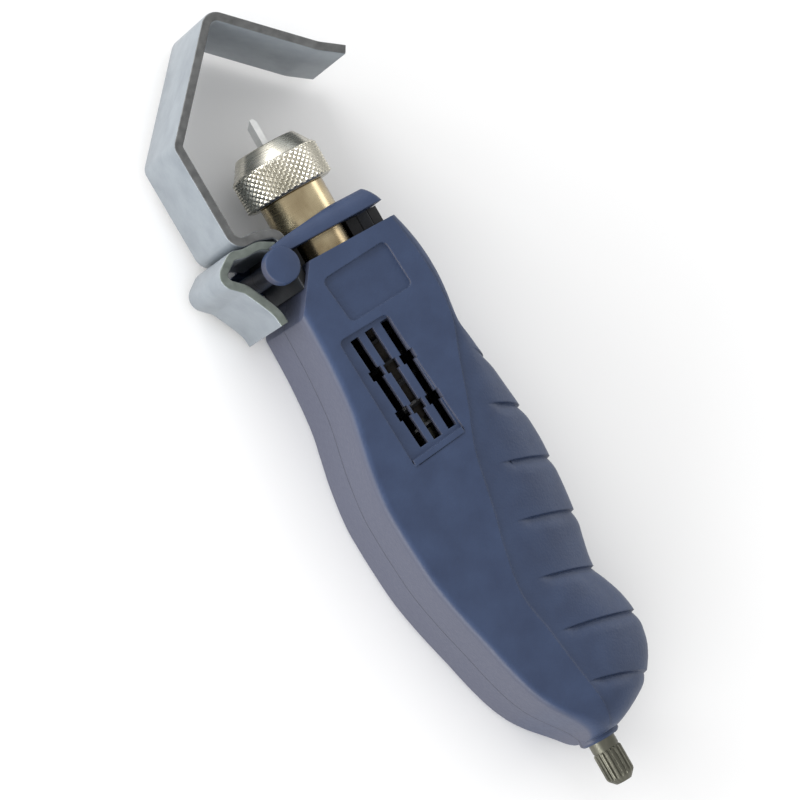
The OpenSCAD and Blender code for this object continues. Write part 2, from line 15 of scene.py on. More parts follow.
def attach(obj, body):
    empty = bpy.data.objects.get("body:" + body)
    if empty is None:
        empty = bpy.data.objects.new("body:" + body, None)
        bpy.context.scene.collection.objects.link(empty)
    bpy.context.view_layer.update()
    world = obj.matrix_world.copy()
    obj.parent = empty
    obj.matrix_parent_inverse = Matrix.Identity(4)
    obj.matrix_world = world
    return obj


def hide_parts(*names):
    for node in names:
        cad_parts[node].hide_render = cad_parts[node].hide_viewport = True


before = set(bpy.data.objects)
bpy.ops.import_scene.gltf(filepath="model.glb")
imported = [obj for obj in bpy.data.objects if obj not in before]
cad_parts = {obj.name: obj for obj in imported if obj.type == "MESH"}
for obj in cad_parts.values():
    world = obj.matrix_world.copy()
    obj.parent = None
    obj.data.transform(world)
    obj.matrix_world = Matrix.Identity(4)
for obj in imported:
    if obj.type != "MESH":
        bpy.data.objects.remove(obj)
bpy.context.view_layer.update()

MM = 0.001

# Sizes that follow the photograph and differ from the part's
EDGE_R = 1.4
GROOVE_DEPTH = 0.55
GROOVE_WALL = 0.16
GROOVE_RUN = 2.6
CREASE_STEP = 0.28
SLOT_W = 1.6
NOTCH_W = 2.44
NOTCH_H = 1.6
RIM_PROUD = 0.1

# Sizes shared with the part
HANDLE_T = 19.0
HALF = HANDLE_T / 2
GRIP_FALL = 0.09
GRIP_SIDE_POWER = 2 / 3
GRIP_TOP_POWER = 2 / 2.2
REAR_HALF = 3.9
REAR_ROUND = 6.5
LEAN = 4.0
SKIN = 1.4
INNER = HALF - SKIN
GROOVE_PITCH = 9.25
GROOVE_Y = 17.9
GROOVE_X = [10, 7.6, 4.6, 2, 0.4, -0.7, -1]
HEAD_Y = 40.8
REAR_Y = -46.0
NOSE_Y = 43.8
NOSE_TOP_Y = 47.05
NOSE_R = 3.2
STRIP_W = 15.9
STRIP_T = 1.5
LEG_X = -8.55
CHANNEL_X0 = LEG_X - STRIP_T / 2 - 0.15
CHANNEL_X1 = LEG_X + STRIP_T / 2 + 0.15
RUN_GAP = 0.05
SPINDLE_D = 11.0
BOSS = (-11.3, 42.2)
BOSS_R = 2.95
BOSS_PROUD = 0.5

# Outlines as [y, x] rows. RIGHT and CREASE lie up to 0.7 mm further in than the part's at the head
LEFT = [[40.8, -12.5], [27, -12.7], [21, -13.1], [17, -13.6], [13, -14.5], [8.5, -15.5], [2, -16.4],
        [-3, -16.4], [-7, -16.2], [-12, -15.8], [-16, -15.1], [-20, -14.2], [-25, -12.9],
        [-29.5, -11.8], [-34, -10.4], [-37.4, -8.8], [-40, -7], [-42, -5.4], [-44, -4], [-46, -3.1]]
RIGHT = [[47.2, 8.3], [44, 10], [41.6, 10.5], [38.2, 11.7], [34.4, 12.5], [30.1, 12.6], [26.3, 12.2],
         [22.8, 11.6], [19.5, 11.4], [16.8, 12.5], [12, 14], [8, 14.8], [5, 15.3], [-0.5, 15.9],
         [-4.4, 15.8], [-10, 15.4], [-15.6, 14.6], [-18.3, 13.9], [-22.2, 13.1], [-24.4, 13.3],
         [-28, 14.7], [-31, 15.4], [-33.8, 15.5], [-35.7, 15.2], [-37.7, 14.6], [-39.6, 13.5],
         [-41.1, 12.3], [-42.6, 10.9], [-43.7, 9], [-44.8, 6.3], [-45.6, 4.2], [-46, 3.3]]
CREASE = [[47.2, 7.2], [40, 9.1], [30, 10.3], [22.6, 9.6], [17.7, 7.7], [14.1, 6.3], [9.3, 4.5],
          [2.8, 1.7], [-3.2, 0.2], [-8.3, -1], [-13.4, -2.4], [-20.9, -3.6], [-27, -2.6], [-34, -1.6],
          [-40, -0.6], [-46, -0.2]]


# Small helpers

def curve(table, y):
    """Smooth curve through [y, x] rows that run down in y."""
    n = len(table)
    i = 0
    while i < n - 2 and y <= table[i + 1][0]:
        i += 1

    def slope(k):
        a, b = max(k - 1, 0), min(k + 1, n - 1)
        return (table[b][1] - table[a][1]) / (table[b][0] - table[a][0])

    d = table[i + 1][0] - table[i][0]
    t = (y - table[i][0]) / d
    return (table[i][1] * (2 * t ** 3 - 3 * t ** 2 + 1) + slope(i) * d * (t ** 3 - 2 * t ** 2 + t)
            + table[i + 1][1] * (3 * t ** 2 - 2 * t ** 3) + slope(i + 1) * d * (t ** 3 - t ** 2))


def ramp(a, b, v):
    t = min(1.0, max(0.0, (v - a) / (b - a)))
    return t * t * (3 - 2 * t)


def spread(a, b, n):
    return [a + (b - a) * k / n for k in range(n + 1)]


def new_object(name, verts, faces):
    """A mesh object in metres from points in millimetres, with its faces outward."""
    mesh = bpy.data.meshes.new(name)
    mesh.from_pydata([(x * MM, y * MM, z * MM) for x, y, z in verts], [], faces)
    bm = bmesh.new()
    bm.from_mesh(mesh)
    bmesh.ops.remove_doubles(bm, verts=bm.verts, dist=1e-7)
    bmesh.ops.recalc_face_normals(bm, faces=bm.faces)
    bm.to_mesh(mesh)
    bm.free()
    obj = bpy.data.objects.new(name, mesh)
    bpy.context.scene.collection.objects.link(obj)
    return obj


def loft(name, rings, closed=True):
    """A solid through rings of equal length, with flat ends unless its last ring meets its first."""
    n, m = len(rings[0]), len(rings)
    verts = [p for ring in rings for p in ring]
    rows = m - 1 if closed else m
    faces = [(j * n + i, j * n + (i + 1) % n, ((j + 1) % m) * n + (i + 1) % n, ((j + 1) % m) * n + i)
             for j in range(rows) for i in range(n)]
    if closed:
        faces += [tuple(range(n)), tuple((m - 1) * n + i for i in range(n))]
    return new_object(name, verts, faces)


def box_object(x0, x1, y0, y1, z0, z1):
    verts = [(x, y, z) for x in (x0, x1) for y in (y0, y1) for z in (z0, z1)]
    faces = [(0, 1, 3, 2), (4, 6, 7, 5), (0, 4, 5, 1), (2, 3, 7, 6), (0, 2, 6, 4), (1, 5, 7, 3)]
    return new_object("cutter", verts, faces)


def prism(points, z0, z1):
    return loft("cutter", [[(x, y, z) for x, y in points] for z in (z0, z1)])


def circle(r, n):
    return [(r * math.cos(2 * math.pi * k / n), r * math.sin(2 * math.pi * k / n)) for k in range(n)]


def turned(side, g):
    """A flat vector turned by an angle in radians."""
    return Vector((side.x * math.cos(g) - side.y * math.sin(g), side.x * math.sin(g) + side.y * math.cos(g)))


def rod(d, y0, y1, z, n=96):
    """A cylinder along y at x 0 and height z."""
    return loft("cutter", [[(a, y, z + b) for a, b in circle(d / 2, n)] for y in (y0, y1)])


def rod_x(d, x0, x1, y, z, n=48):
    return loft("cutter", [[(x, y + a, z + b) for a, b in circle(d / 2, n)] for x in (x0, x1)])


def rod_z(d, x, y, z0, z1, n=64):
    return loft("cutter", [[(x + a, y + b, z) for a, b in circle(d / 2, n)] for z in (z0, z1)])


def combine(obj, parts, operation):
    """Cut or join parts with obj, and delete them."""
    group = bpy.data.collections.new("cutters")
    bpy.context.scene.collection.children.link(group)
    for part in parts:
        bpy.context.scene.collection.objects.unlink(part)
        group.objects.link(part)
    step = obj.modifiers.new("cut", "BOOLEAN")
    step.operation = operation
    step.solver = "EXACT"
    step.operand_type = "COLLECTION"
    step.collection = group
    bpy.context.view_layer.update()
    result = bpy.data.meshes.new_from_object(obj.evaluated_get(bpy.context.evaluated_depsgraph_get()))
    obj.modifiers.clear()
    old = obj.data
    obj.data = result
    bpy.data.meshes.remove(old)
    for part in list(parts):
        bpy.data.objects.remove(part, do_unlink=True)
    bpy.data.collections.remove(group)


def smooth(obj, angle=32):
    obj.data.shade_smooth()
    obj.data.set_sharp_from_angle(angle=math.radians(angle))


def revolve(name, profile, z, n):
    """A ring of revolution about the spindle axis, from a closed line of (radius, y) points."""
    rings = []
    for r, y in profile:
        rings.append([(r * math.cos(2 * math.pi * k / n), y, z + r * math.sin(2 * math.pi * k / n))
                      for k in range(n)])
    return loft(name, rings, closed=False)


# The handle's sections

def half_height(y):
    u = min(1.0, max(0.0, (REAR_Y + REAR_ROUND - y) / REAR_ROUND))
    return REAR_HALF + (HALF - REAR_HALF) * math.sqrt(max(0.0, 1 - u ** 2.2))


def lean_at(y):
    """How far a grip section leans to the rear at its outer edge, which makes the grooves oblique."""
    return LEAN * ramp(30, 19, y) * ramp(REAR_Y, -38, y)


def grip_side(a):
    return math.sin(math.radians(a)) ** GRIP_SIDE_POWER


def grip_top(a):
    return max(0.0, math.cos(math.radians(a))) ** GRIP_TOP_POWER


def grip_point(y, a):
    """A point of the grip's superellipse, from 0 degrees at the crease to 90 at the side."""
    f = grip_side(a)
    ya = y - lean_at(y) * f ** 1.3
    c = curve(CREASE, y)
    r = curve(RIGHT, y - lean_at(y))
    x = c + (r - c) * f
    z = (half_height(ya) - CREASE_STEP - GRIP_FALL * (x - c)) * grip_top(a)
    return x, ya, z


def groove_edge(i):
    return GROOVE_Y + 0.2 - i * GROOVE_PITCH


def groove_share(back):
    """Share of a finger groove's depth, by distance behind its edge: a short wall and a long run out."""
    if back <= 0 or back >= GROOVE_RUN:
        return 0.0
    if back < GROOVE_WALL:
        return back / GROOVE_WALL
    return (1 - (back - GROOVE_WALL) / (GROOVE_RUN - GROOVE_WALL)) ** 1.6


def grooved_point(y, a):
    """A grip point, sunk where it lies in one of the finger grooves."""
    p = grip_point(y, a)
    for i, x0 in enumerate(GROOVE_X):
        share = groove_share(groove_edge(i) - y)
        if share > 0:
            q = grip_point(y, min(90, a + 1))
            o = grip_point(y, max(0.2, a - 1))
            dx, dz = q[0] - o[0], q[2] - o[2]
            size = math.hypot(dx, dz)
            nx, nz = (1.0, 0.0) if a > 89 else (-dz / size, dx / size)
            deep = GROOVE_DEPTH * ramp(0, 3, p[0] - x0) * share
            return p[0] - nx * deep, p[1], max(0.0, p[2] - nz * deep)
    return p


GRIP_STEPS = 34


def half_ring(y):
    left, h = curve(LEFT, y), half_height(y)
    r = min(EDGE_R + 0.8 * ramp(-38, -45, y), h - 0.8)
    ring = [(left, y, z) for z in spread(0, h - r, 3)[:-1]]
    for k in range(9):
        a = math.radians(90 * k / 8)
        ring.append((left + r - r * math.cos(a), y, h - r + r * math.sin(a)))
    c = curve(CREASE, y)
    ring += [(x, y, h) for x in spread(left + r, c, 4)[1:]]
    grip = [grooved_point(y, 90 * (k / GRIP_STEPS) ** 1.25) for k in range(1, GRIP_STEPS + 1)]
    ring.append((0.75 * c + 0.25 * grip[0][0], 0.75 * y + 0.25 * grip[0][1], h - CREASE_STEP))
    ring += grip
    return ring


def stations():
    """Where the handle's sections lie: evenly spaced, closer at the rear and at the grooves."""
    ys = set()
    y = HEAD_Y
    while y > REAR_Y:
        ys.add(round(y, 3))
        y -= 0.9 if y > -37 else 0.35
    ys.add(REAR_Y)
    for i in range(len(GROOVE_X)):
        edge = groove_edge(i)
        ys = {v for v in ys if not -0.4 < edge - v < GROOVE_RUN + 0.3}
        ys |= {round(edge - back, 3) for back in
               (-0.25, -0.1, 0, 0.04, 0.08, 0.12, 0.16, 0.24, 0.4, 0.6, 0.9, 1.3, 1.7, 2.1, 2.6, 2.8)}
    return sorted(ys, reverse=True)


def rounded(points, r, n=6):
    """A convex outline with rounded corners."""
    out = []
    count = len(points)
    for i in range(count):
        b = Vector(points[i])
        d1 = (b - Vector(points[i - 1])).normalized()
        d2 = (Vector(points[(i + 1) % count]) - b).normalized()
        turn = math.atan2(d1.x * d2.y - d1.y * d2.x, d1.dot(d2))
        side = Vector((-d1.y, d1.x))
        s = 1 if turn > 0 else -1
        centre = b - d1 * r * math.tan(abs(turn) / 2) + side * r * s
        for k in range(n + 1):
            g = turn * k / n
            q = turned(side, g)
            out.append(tuple(centre - q * r * s))
    return out


LABEL = [[-6.7, 37.2], [5.9, 38], [6.4, 29.8], [-5.8, 29.2]]
GRILLE = [[-9.4, 27.6], [0, 27.9], [1.9, 5.8], [-8.6, 4.8]]
GRILLE_SLOTS = [[-6.7, 26.8, -5.2, 7.2], [-3.8, 27, -2.5, 7.2], [-0.7, 27.2, 0.5, 7.5]]
NOTCH_Y = (20.4, 13)
SCREWS = [[8.7, 28.8], [-12.4, 1], [6.5, -17], [-8.2, -27]]
LABEL_DEPTH = 0.4
GRILLE_DEPTH = 0.5
HEAD_SEAT_DEPTH = 3
PAST = 19


def turned_box(x, y, angle, x0, x1, y0, y1, z0, z1):
    c, s = math.cos(angle), math.sin(angle)
    corners = [(x0, y0), (x1, y0), (x1, y1), (x0, y1)]
    return prism([(x + a * c - b * s, y + a * s + b * c) for a, b in corners], z0, z1)


def half_shell(name, front):
    """One handle half, built about the parting plane and then set in place."""
    shell = loft(name, [half_ring(y) for y in stations()])
    lip_r = 3.4
    arc = [(lip_r * math.cos(math.pi * k / 48), lip_r * math.sin(math.pi * k / 48)) for k in range(49)]
    lip_rings = [[(a * (1 - 0.1 * (y < -46.6)), y, b * (1 - 0.1 * (y < -46.6))) for a, b in arc]
                 for y in (-46.9, -46.55, -43)]
    combine(shell, [loft("lip", lip_rings)], "UNION")
    cuts = [
        box_object(CHANNEL_X0, CHANNEL_X1, 26, 42, -1, INNER),
        box_object(-9.7, 6.6, -7, 27, -1, INNER),
        box_object(-4.5, 4.5, -33, -9, -1, 5),
        rod(SPINDLE_D + 2 * RUN_GAP, 29, 42, 0),
        rod(6.5, 26, 30, 0),
        rod(5, -36.2, 27, 0),
        rod(8.4, -38, -35.2, 0),
        rod(6.62, -43.5, -37, 0),
        rod(5, -48, -42.5, 0),
        rod_x(3.3, 0, 11.8, 32, 0),
        box_object(6.7, 8.9, 35.8, 42, -1, 2.6),
        box_object(6.7, 8.9, 35.7, 37.7, -1, 4.1),
        prism([(-6.9, 41.3), (-6.9, HEAD_Y), (-12.4, 33.6), (-12.9, 32.9), (-20, 32.9), (-20, 41.3)],
              -1, PAST),
    ]
    if front:
        cuts += [prism(rounded(LABEL, 1.0), HALF - LABEL_DEPTH, HALF + 2),
                 prism(rounded(GRILLE, 0.9), HALF - GRILLE_DEPTH, HALF + 2)]
        for x0, y0, x1, y1 in GRILLE_SLOTS:
            angle = math.atan2(y0 - y1, x0 - x1) - math.pi / 2
            cuts.append(turned_box(x1, y1, angle, -SLOT_W / 2, SLOT_W / 2, 0, math.hypot(x0 - x1, y0 - y1),
                                   INNER - 1, INNER + 3))
            for y in NOTCH_Y:
                f = (y0 - y) / (y0 - y1)
                cuts.append(turned_box(x0 + (x1 - x0) * f, y, angle, -NOTCH_W / 2, NOTCH_W / 2,
                                       -NOTCH_H / 2, NOTCH_H / 2, INNER - 1, INNER + 3))
        cuts += [rod_z(2.42, x, y, -1, 4.3, 32) for x, y in SCREWS]
    else:
        cuts += [rod_z(2.5, x, y, -1, PAST, 32) for x, y in SCREWS]
        cuts += [rod_z(4.9, x, y, HALF - HEAD_SEAT_DEPTH, PAST, 48) for x, y in SCREWS]
    combine(shell, cuts, "DIFFERENCE")
    if front:
        rim = [(-8.5, 4.9), (1.6, 5.8), (1.55, 6.8), (-8.4, 5.95)]
        combine(shell, [prism(rim, HALF - 0.7, HALF + RIM_PROUD)], "UNION")
    sign = 1 if front else -1
    shell.data.transform(Matrix.Translation((0, 0, HALF * MM)) @ Matrix.Diagonal((1, 1, sign, 1)))
    if not front:
        shell.data.flip_normals()
    smooth(shell)
    return shell


def nose_bar_piece():
    """The cross bar over the gap at the head, with its two bosses and its tenon."""
    def half(y):
        past = max(0.0, y - NOSE_TOP_Y + NOSE_R)
        return HALF - NOSE_R + math.sqrt(max(0.0, NOSE_R ** 2 - past ** 2))

    rings = []
    for k in range(15):
        y = NOSE_TOP_Y - NOSE_R * (1 - math.cos(math.pi / 2 * k / 14)) if k < 14 else NOSE_Y
        h, c, r = half(y), curve(CREASE, y), curve(RIGHT, y)
        top = [(BOSS[0], h)]
        for a in [90 * (j / 30) ** 1.25 for j in range(31)]:
            x = c + (r - c) * grip_side(a)
            top.append((x, (h - GRIP_FALL * (x - c)) * grip_top(a)))
        rings.append([(x, y, z) for x, z in top] + [(x, y, -z) for x, z in reversed(top[:-1])])
    bar = loft("nose_bar_form", rings)
    front = [(-14, 45.1), (-8.5, 46), (1.6, 47), (9.6, 46.85), (14, 46.8), (14, 52), (-14, 52)]
    combine(bar, [box_object(-20, CHANNEL_X1, 30, 60, -INNER, INNER),
                  rod(SPINDLE_D + 2 * RUN_GAP, 42.8, 50, 0), prism(front, -12, 12)], "DIFFERENCE")
    x, y = BOSS
    cap_rings = [[(x + a, y + b, z) for a, b in circle(r, 96)] for r, z in
                 ((BOSS_R, INNER), (BOSS_R, HALF + BOSS_PROUD - 0.35),
                  (BOSS_R - 0.1, HALF + BOSS_PROUD - 0.1), (BOSS_R - 0.35, HALF + BOSS_PROUD))]
    combine(bar, [box_object(6.8, 8.8, 37.6, 44.3, -2.5, 2.5), box_object(6.8, 8.8, 35.8, 37.6, -4, 4),
                  rod_z(3.4, x, y, -HALF, HALF, 64), rod_z(2 * BOSS_R, x, y, -HALF, -INNER, 96),
                  loft("boss", cap_rings)], "UNION")
    bar.data.transform(Matrix.Translation((0, 0, HALF * MM)))
    smooth(bar)
    return bar


# Bent strips

LAYER_Y = 48.2
APEX_Y = LAYER_Y + 34
TAB_Y = -7 + 0.05 + STRIP_T / 2
HOOK = [[17, APEX_Y - 14.9, 0], [13.2, APEX_Y - 12.4, 6], [-0.4, APEX_Y, 1.9], [-15.95, APEX_Y - 16.2, 1.5],
        [-15.7, LAYER_Y, 2.1], [-12.2, LAYER_Y, 4], [LEG_X, LAYER_Y - 1.11, 1.6], [LEG_X, TAB_Y, 1.6],
        [6, TAB_Y, 0]]
LUG = [[-10.1, LAYER_Y - STRIP_T - 1.3, 0], [-12.4, LAYER_Y - STRIP_T, 3], [-15.2, LAYER_Y - STRIP_T, 3],
       [-17.2, LAYER_Y - STRIP_T + 0.6, 1.6], [-21.05, 44.65, 1.6], [-17.9, 41.75, 3], [-16.4, 38.8, 6],
       [-15.2, 36.1, 6], [-15.05, 34.1, 0]]


def bent_line(corners):
    """Points and left normals along a centre line with rounded bends."""
    line = []
    last = len(corners) - 1
    for i, (x, y, r) in enumerate(corners):
        b = Vector((x, y))
        before = Vector(corners[i - 1][:2]) if i else None
        after = Vector(corners[i + 1][:2]) if i < last else None
        if i == 0 or i == last:
            d = (after - b if i == 0 else b - before).normalized()
            line.append((b, Vector((-d.y, d.x))))
            continue
        d1 = (b - before).normalized()
        d2 = (after - b).normalized()
        turn = math.atan2(d1.x * d2.y - d1.y * d2.x, d1.dot(d2))
        side = Vector((-d1.y, d1.x))
        s = 1 if turn > 0 else -1
        centre = b - d1 * r * math.tan(abs(turn) / 2) + side * r * s
        steps = max(4, math.ceil(abs(math.degrees(turn)) / 5))
        for k in range(steps + 1):
            g = turn * k / steps
            q = turned(side, g)
            line.append((centre - q * r * s, q))
    return line


def strip_piece(name, corners, corner_r=0.28):
    """A sheared strip: a rounded rectangle swept along its centre line, with flat ends."""
    section = rounded([(-STRIP_T / 2, -STRIP_W / 2), (STRIP_T / 2, -STRIP_W / 2), (STRIP_T / 2, STRIP_W / 2),
                       (-STRIP_T / 2, STRIP_W / 2)], corner_r, 4)
    rings = [[(p.x + q.x * u, p.y + q.y * u, HALF + w) for u, w in section] for p, q in bent_line(corners)]
    return loft(name, rings)


def hook_piece():
    hook = strip_piece("hook_form", HOOK)
    slot_d = 6.6
    y0 = TAB_Y - 3
    y1 = TAB_Y + 3
    combine(hook, [rod(slot_d, y0, y1, HALF, 64),
                   box_object(0, 8, y0, y1, HALF - slot_d / 2, HALF + slot_d / 2)], "DIFFERENCE")
    smooth(hook)
    return hook


def lug_piece():
    lug = strip_piece("thumb_lug_form", LUG)
    smooth(lug)
    return lug


# Turned pieces

CAP_Y = 51.75
KNURL_L = 5.8
CONE_H = 2.8
CAP_R = 7.5
CAP_TOP_R = 5.1
KNURL_COUNT = 40
KNURL_ROWS = 6
KNURL_DEPTH = 0.35


def knurl(turn, along):
    """Height of the knurl from 0 in a valley to 1 on a point."""
    s = turn * KNURL_COUNT + along * KNURL_ROWS
    t = turn * KNURL_COUNT - along * KNURL_ROWS
    return min(1.0, 1.12 * min(1 - 2 * abs(s - round(s)), 1 - 2 * abs(t - round(t))))


def cap_piece():
    around, along = KNURL_COUNT * 12, 84
    rings = []

    def ring(r, y):
        rings.append([(a, y, HALF + b) for a, b in circle(r, around)])

    rim = CAP_R - KNURL_DEPTH
    for r, y in ((0.01, 58.24), (3.1, 58.24), (3.1, 57.35), (4.51, 57.35), (4.51, CAP_Y), (rim - 0.3, CAP_Y)):
        ring(r, y)
    for j in range(along + 1):
        v = j / along
        y = CAP_Y + KNURL_L * v
        edge = ramp(0, 0.07, v) * ramp(1, 0.93, v)
        rings.append([])
        for k in range(around):
            r = rim - 0.3 * (1 - ramp(0, 0.05, v)) + KNURL_DEPTH * knurl(k / around, v) * edge
            a = 2 * math.pi * k / around
            rings[-1].append((r * math.cos(a), y, HALF + r * math.sin(a)))
    top = CAP_Y + KNURL_L + CONE_H
    for r, y in ((rim - 0.12, CAP_Y + KNURL_L + 0.02), (rim - 0.2, CAP_Y + KNURL_L + 0.1),
                 (CAP_TOP_R + 0.15, top - 0.15), (CAP_TOP_R - 0.02, top - 0.03), (CAP_TOP_R - 0.2, top),
                 (0.01, top)):
        ring(r, y)
    cap = loft("knurled_cap_form", rings)
    combine(cap, [box_object(-0.6, 0.6, CAP_Y, 80, HALF - 2.6, HALF + 2.6)], "DIFFERENCE")
    smooth(cap, 40)
    return cap


def spindle_piece():
    groove = 4.7
    body = SPINDLE_D / 2
    chamfer = 0.25
    r = 3.0
    end_y = 29.1
    detent_y = 32
    ball_r = 1.7
    ball_x = 6.3
    detent = [(ball_x - ball_r * math.cos(math.radians(a)), detent_y + ball_r * math.sin(math.radians(a)))
              for a in range(-60, 61, 10)]
    detent = [(q, y) for q, y in detent if q < body]
    reach = math.sqrt(ball_r ** 2 - (ball_x - body) ** 2)
    outline = [(r, end_y), (body - chamfer, end_y), (body, end_y + chamfer), (body, detent_y - reach)]
    outline += detent
    outline += [
        (body, detent_y + reach), (body, HEAD_Y - 0.1), (body - 0.1, HEAD_Y), (groove, HEAD_Y),
        (groove, NOSE_Y),
        (body - 0.1, NOSE_Y), (body, NOSE_Y + 0.1), (body, CAP_Y - 0.15), (body - 0.15, CAP_Y), (4.5, CAP_Y),
        (4.5, 57.1), (4.35, 57.25), (r, 57.25)]
    spindle = revolve("spindle_form", outline, HALF, 144)
    combine(spindle, [rod_z(1.52, 0, 35, HALF + 2, HALF + 8, 32)], "DIFFERENCE")
    smooth(spindle)
    return spindle


def screw_piece():
    n = 288
    count = 18
    rings = []
    rod_r = 1.95
    journal = 2.25
    thumb = 2.4

    def ring(r, y, ridge=0.0):
        row = []
        for k in range(n):
            a = 2 * math.pi * k / n
            wave = math.cos(count * a)
            q = r - ridge * 0.5 * (1 - max(-1.0, min(1.0, 2.2 * wave)))
            row.append((q * math.cos(a), y, HALF + q * math.sin(a)))
        rings.append(row)

    ring(0.01, 27)
    for r, y in ((1.6, 27), (rod_r, 26.6), (rod_r, -31.3), (1.55, -31.3), (1.55, -32.1), (rod_r, -32.1),
                 (rod_r, -35.25), (3.4, -35.25), (3.5, -35.35), (3.5, -36.65), (3.4, -36.75),
                 (journal, -36.75), (journal, -48.45), (2.12, -48.7), (2.12, -48.71)):
        ring(r, y)
    for y, r, ridge in ((-48.72, 2.2, 0.08), (-49.0, thumb, 0.28), (-50.5, thumb, 0.28), (-52, thumb, 0.28),
                        (-53.0, thumb, 0.28), (-53.35, 2.3, 0.2), (-53.6, 2.1, 0.05), (-54.25, 1.5, 0.0),
                        (-54.4, 1.35, 0.0), (-54.4, 0.01, 0.0)):
        ring(r, y, ridge)
    screw = loft("depth_screw_form", rings)
    smooth(screw, 35)
    return screw


def blade_piece():
    """The blade with its bevelled cutting end, narrower there than the part's, as in the photograph."""
    t = 0.5
    w = 2.3
    nib = 1.25
    root = 50.0
    tip = 64.95
    outline = [(root, -w), (59.6, -w), (60.3, -nib), (tip - 1.0, -nib), (tip - 0.2, nib - 0.4), (tip, nib),
               (60.3, nib), (59.6, w), (root, w)]
    rings = []
    for x, back in ((-t, 0.0), (-t + 0.12, 0.0), (t - 0.35, 0.0), (t, 0.7)):
        rings.append([(x, y - back * (y > root + 1), HALF + z) for y, z in outline])
    blade = loft("blade_form", rings)
    smooth(blade, 20)
    return blade


# Materials

def srgb(r, g, b):
    def line(v):
        v /= 255
        return v / 12.92 if v <= 0.04045 else ((v + 0.055) / 1.055) ** 2.4
    return line(r), line(g), line(b), 1.0


class Finish:
    """One procedural material, built up by small steps."""

    def __init__(self, name, rough, metal=0.0, spec=0.5):
        self.material = bpy.data.materials.new(name)
        self.material.use_nodes = True
        tree = self.material.node_tree
        self.nodes = tree.nodes
        self.links = tree.links
        self.shader = self.nodes["Principled BSDF"]
        self.shader.inputs["Roughness"].default_value = rough
        self.shader.inputs["Metallic"].default_value = metal
        self.shader.inputs["Specular IOR Level"].default_value = spec
        self.place = self.nodes.new("ShaderNodeTexCoord")

    def noise(self, scale, detail=3.0, stretch=(1, 1, 1)):
        shift = self.nodes.new("ShaderNodeMapping")
        shift.inputs["Scale"].default_value = stretch
        self.links.new(self.place.outputs["Object"], shift.inputs["Vector"])
        tex = self.nodes.new("ShaderNodeTexNoise")
        tex.inputs["Scale"].default_value = scale
        tex.inputs["Detail"].default_value = detail
        self.links.new(shift.outputs["Vector"], tex.inputs["Vector"])
        return tex.outputs["Fac"]

    def steps(self, value, stops):
        band = self.nodes.new("ShaderNodeValToRGB")
        elements = band.color_ramp.elements
        for element, (pos, colour) in zip(elements, stops):
            element.position = pos
            element.color = colour
        self.links.new(value, band.inputs["Fac"])
        return band.outputs["Color"]

    def colour(self, value, stops):
        self.links.new(self.steps(value, stops), self.shader.inputs["Base Color"])

    def outside(self, axis, centre_mm, inner_mm, soft_mm=0.05):
        """0 within inner_mm of a place along an axis, 1 further from it."""
        parts = self.nodes.new("ShaderNodeSeparateXYZ")
        self.links.new(self.place.outputs["Object"], parts.inputs["Vector"])
        off = self.nodes.new("ShaderNodeMath")
        off.operation = "SUBTRACT"
        off.inputs[1].default_value = centre_mm * MM
        self.links.new(parts.outputs[axis], off.inputs[0])
        size = self.nodes.new("ShaderNodeMath")
        size.operation = "ABSOLUTE"
        self.links.new(off.outputs["Value"], size.inputs[0])
        band = self.nodes.new("ShaderNodeMapRange")
        band.inputs["From Min"].default_value = (inner_mm - soft_mm) * MM
        band.inputs["From Max"].default_value = (inner_mm + soft_mm) * MM
        self.links.new(size.outputs["Value"], band.inputs["Value"])
        return band.outputs["Result"]

    def larger(self, a, b):
        node = self.nodes.new("ShaderNodeMath")
        node.operation = "MAXIMUM"
        self.links.new(a, node.inputs[0])
        self.links.new(b, node.inputs[1])
        return node.outputs["Value"]

    def facing_left(self):
        """1 where the surface faces the tool's left, 0 where it faces up or right."""
        parts = self.nodes.new("ShaderNodeSeparateXYZ")
        self.links.new(self.place.outputs["Normal"], parts.inputs["Vector"])
        band = self.nodes.new("ShaderNodeMapRange")
        band.interpolation_type = "SMOOTHSTEP"
        band.inputs["From Min"].default_value = -0.5
        band.inputs["From Max"].default_value = -0.97
        self.links.new(parts.outputs["X"], band.inputs["Value"])
        return band.outputs["Result"]

    def mix(self, factor, a, b):
        """A colour that goes from a to b."""
        node = self.nodes.new("ShaderNodeMix")
        node.data_type = "RGBA"
        self.links.new(factor, node.inputs["Factor"])
        for value, socket in ((a, node.inputs["A"]), (b, node.inputs["B"])):
            if isinstance(value, tuple):
                socket.default_value = value
            else:
                self.links.new(value, socket)
        return node.outputs["Result"]

    def shade(self, a, b):
        """The product of two colours."""
        node = self.nodes.new("ShaderNodeMix")
        node.data_type = "RGBA"
        node.blend_type = "MULTIPLY"
        node.inputs["Factor"].default_value = 1.0
        self.links.new(a, node.inputs["A"])
        self.links.new(b, node.inputs["B"])
        return node.outputs["Result"]

    def rough(self, value, low, high):
        scale = self.nodes.new("ShaderNodeMapRange")
        scale.inputs["To Min"].default_value = low
        scale.inputs["To Max"].default_value = high
        self.links.new(value, scale.inputs["Value"])
        self.links.new(scale.outputs["Result"], self.shader.inputs["Roughness"])

    def bump(self, pairs, bevel_mm=0.0):
        """Bumps as (value, height in mm) pairs, over rounded edges."""
        normal = None
        if bevel_mm:
            bevel = self.nodes.new("ShaderNodeBevel")
            bevel.samples = 4
            bevel.inputs["Radius"].default_value = bevel_mm * MM
            normal = bevel.outputs["Normal"]
        for value, height in pairs:
            bump = self.nodes.new("ShaderNodeBump")
            bump.inputs["Distance"].default_value = height * MM
            self.links.new(value, bump.inputs["Height"])
            if normal:
                self.links.new(normal, bump.inputs["Normal"])
            normal = bump.outputs["Normal"]
        self.links.new(normal, self.shader.inputs["Normal"])


